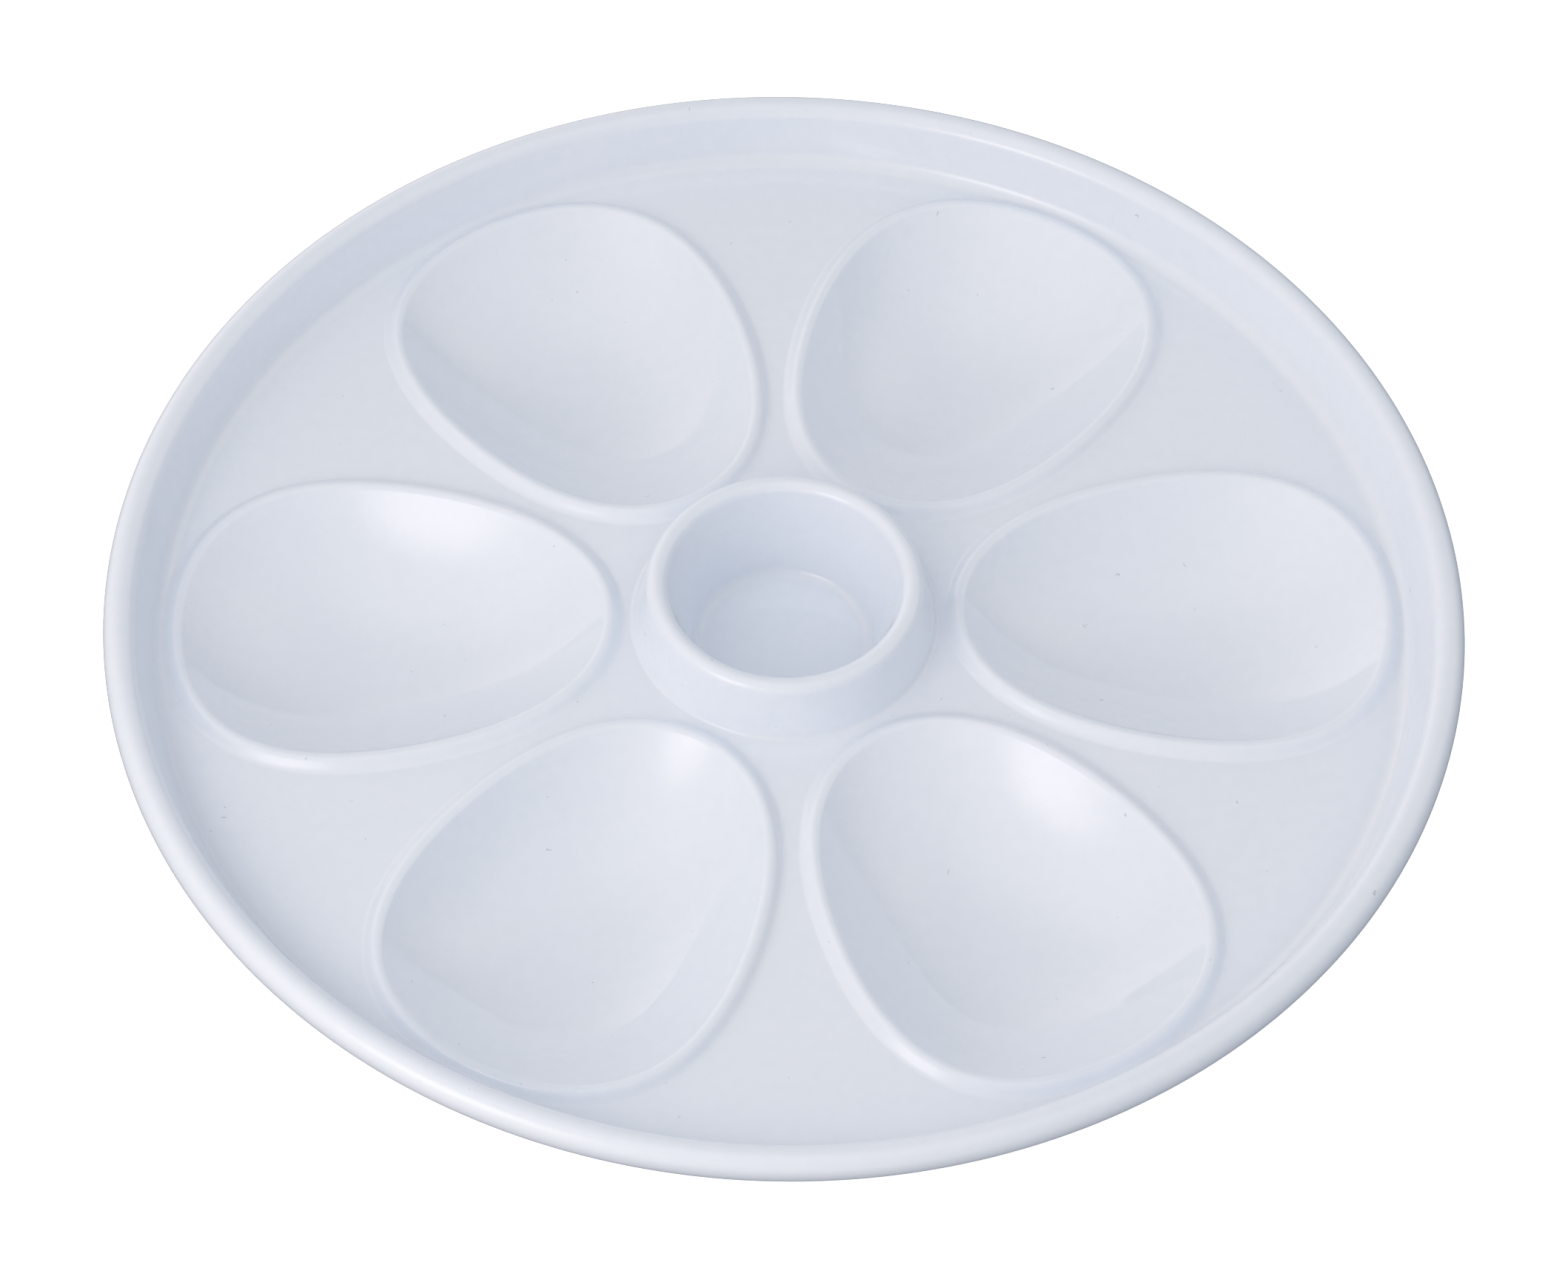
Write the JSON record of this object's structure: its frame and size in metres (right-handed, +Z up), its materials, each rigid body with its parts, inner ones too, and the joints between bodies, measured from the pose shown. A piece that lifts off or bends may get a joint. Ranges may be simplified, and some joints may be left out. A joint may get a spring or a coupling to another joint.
{
  "type": "mixing palette",
  "caption": "Round white glossy palette tray in one moulding, with egg-shaped wells that have raised edges around a raised centre cup, inside a rounded lip.",
  "frame": {"origin": "centre of the base, on the surface that the palette stands on", "axes": "+Z up along the palette's axis, +X through the middle of one well"},
  "size_m": [0.254, 0.254, 0.0286],
  "materials": {
    "palette": "gloss white melamine with a faint blue cast"
  },
  "bodies": {
    "root": {"palette": "palette"}
  },
  "joints": []
}
